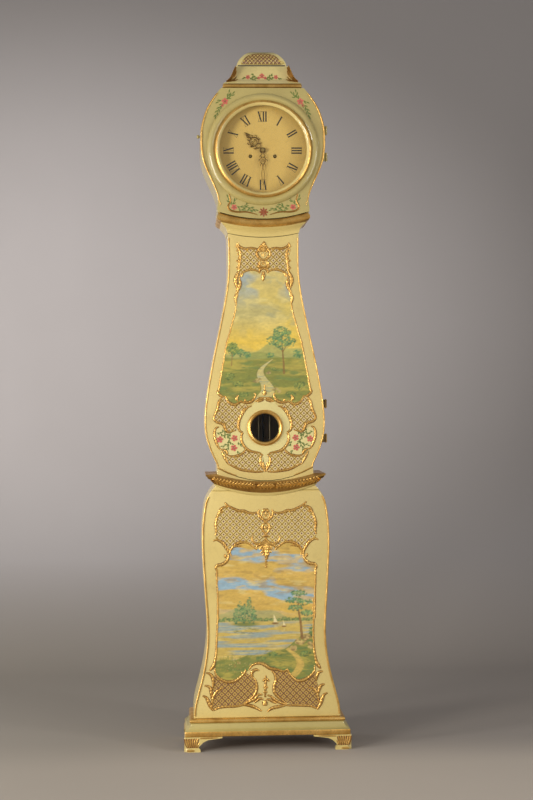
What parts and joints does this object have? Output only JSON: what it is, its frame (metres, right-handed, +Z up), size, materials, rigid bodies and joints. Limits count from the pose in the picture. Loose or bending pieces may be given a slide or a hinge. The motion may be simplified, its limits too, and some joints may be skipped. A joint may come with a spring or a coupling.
{
  "type": "mora clock",
  "caption": "Painted long-case clock with a round head, swelling trunk and lower case on bracket feet, opening doors, hands, pendulum and weights on lines.",
  "frame": {"origin": "on the floor, under the middle of the object's box", "axes": "+Z up, the dial and doors face -Y, +X is the viewer's right"},
  "size_m": [0.5278, 0.248, 2.2225],
  "materials": {
    "cream_paint": "satin aged paint on pine",
    "gilding": "worn gilding on carved wood and gesso",
    "pine": "bare aged pine",
    "brass": "satin",
    "dark_steel": "blackened",
    "cast_iron": "rough casting",
    "glass": "clear",
    "gut": "waxed"
  },
  "bodies": {
    "case": {"foot_front_left": "gilding", "waist_moulding_left": "gilding", "neck_moulding_left": "gilding", "foot_back_left": "cream_paint", "base_side_left": "cream_paint", "trunk_side_left": "cream_paint", "hood_side_left": "cream_paint", "foot_front_right": "gilding", "waist_moulding_right": "gilding", "neck_moulding_right": "gilding", "foot_back_right": "cream_paint", "base_side_right": "cream_paint", "trunk_side_right": "cream_paint", "hood_side_right": "cream_paint", "plinth": "cream_paint", "base_front_panel": "cream_paint", "trunk_foot_rail": "cream_paint", "neck_rail": "cream_paint", "hood_cove": "cream_paint", "crest_cap": "cream_paint", "waist_moulding_front": "gilding", "neck_moulding_front": "gilding", "hood_cornice": "gilding", "back_board": "pine", "seat_board": "pine", "dial": "brass", "movement_front_plate": "brass", "movement_back_plate": "brass", "bell": "brass", "trunk_hinge_lower_case_leaf": "brass", "trunk_hinge_upper_case_leaf": "brass", "hood_hinge_lower_case_leaf": "brass", "hood_hinge_upper_case_leaf": "brass", "line_left": "gut", "line_right": "gut"},
    "trunk_door": {"trunk_door": "cream_paint", "window_ring": "gilding", "window_glass": "glass", "trunk_hinge_lower_door_leaf": "brass", "trunk_hinge_upper_door_leaf": "brass"},
    "hood_door": {"hood_door": "cream_paint", "dial_bezel": "cream_paint", "bezel_ring": "gilding", "dial_glass": "glass", "hood_knob": "cream_paint", "hood_hinge_lower_door_leaf": "brass", "hood_hinge_upper_door_leaf": "brass"},
    "minute_hand": {"minute_hand": "dark_steel"},
    "hour_hand": {"hour_hand": "dark_steel"},
    "escape_wheel": {"escape_wheel": "brass"},
    "anchor": {"anchor": "dark_steel"},
    "hammer": {"hammer": "dark_steel"},
    "pendulum": {"pendulum_rod": "dark_steel", "pendulum_bob": "brass"},
    "drum_left": {"drum_left": "brass"},
    "weight_left": {"weight_left": "cast_iron"},
    "pulley_left": {"pulley_left": "brass"},
    "drum_right": {"drum_right": "brass"},
    "weight_right": {"weight_right": "cast_iron"},
    "pulley_right": {"pulley_right": "brass"}
  },
  "joints": [
    {"name": "trunk_door_hinge", "type": "hinge", "parent": "case", "child": "trunk_door", "pos_m": [0.1953, -0.05585, 1.0378], "axis": [0, 0, 1], "range_deg": [0, 110]},
    {"name": "hood_door_hinge", "type": "hinge", "parent": "case", "child": "hood_door", "pos_m": [0.2013, -0.08585, 1.9148], "axis": [0, 0, 1], "range_deg": [0, 110]},
    {"name": "minute_hand_turn", "type": "hinge", "parent": "case", "child": "minute_hand", "pos_m": [0, -0.09, 1.896], "axis": [0, 1, 0], "continuous": true},
    {"name": "hour_hand_turn", "type": "hinge", "parent": "case", "child": "hour_hand", "pos_m": [0, -0.085, 1.896], "axis": [0, 1, 0], "continuous": true},
    {"name": "escape_wheel_turn", "type": "hinge", "parent": "case", "child": "escape_wheel", "pos_m": [0, -0.025, 1.925], "axis": [0, 1, 0], "continuous": true},
    {"name": "pendulum_swing", "type": "hinge", "parent": "case", "child": "pendulum", "pos_m": [0, 0.037, 1.956], "axis": [0, 1, 0], "range_deg": [-3, 3]},
    {"name": "anchor_rock", "type": "hinge", "parent": "case", "child": "anchor", "pos_m": [0, 0, 1.956], "axis": [0, 1, 0], "range_deg": [-3, 3]},
    {"name": "hammer_lift", "type": "hinge", "parent": "case", "child": "hammer", "pos_m": [0.06, 0, 1.954], "axis": [0, 1, 0], "range_deg": [0, 12]},
    {"name": "weight_left_rise", "type": "slide", "parent": "case", "child": "weight_left", "axis": [0, 0, 1], "range_m": [0, 0.7], "deforming": ["line_left"]},
    {"name": "drum_left_turn", "type": "hinge", "parent": "case", "child": "drum_left", "pos_m": [-0.039, -0.021, 1.878], "axis": [0, 1, 0], "range_deg": [0, 3790]},
    {"name": "pulley_left_turn", "type": "hinge", "parent": "weight_left", "child": "pulley_left", "pos_m": [-0.039, -0.021, 0.945], "axis": [0, 1, 0], "range_deg": [0, 1900]},
    {"name": "weight_right_rise", "type": "slide", "parent": "case", "child": "weight_right", "axis": [0, 0, 1], "range_m": [0, 0.7], "deforming": ["line_right"]},
    {"name": "drum_right_turn", "type": "hinge", "parent": "case", "child": "drum_right", "pos_m": [0.039, -0.021, 1.878], "axis": [0, 1, 0], "range_deg": [-3790, 0]},
    {"name": "pulley_right_turn", "type": "hinge", "parent": "weight_right", "child": "pulley_right", "pos_m": [0.039, -0.021, 0.945], "axis": [0, 1, 0], "range_deg": [-1900, 0]}
  ],
  "couplings": [
    {"joint": "hour_hand_turn", "follows": "minute_hand_turn", "ratio": 0.083333},
    {"joint": "anchor_rock", "follows": "pendulum_swing", "ratio": 1},
    {"joint": "drum_left_turn", "follows": "weight_left_rise", "rad_per_m": 94.34},
    {"joint": "pulley_left_turn", "follows": "weight_left_rise", "rad_per_m": 47.17},
    {"joint": "drum_right_turn", "follows": "weight_right_rise", "rad_per_m": -94.34},
    {"joint": "pulley_right_turn", "follows": "weight_right_rise", "rad_per_m": -47.17}
  ]
}
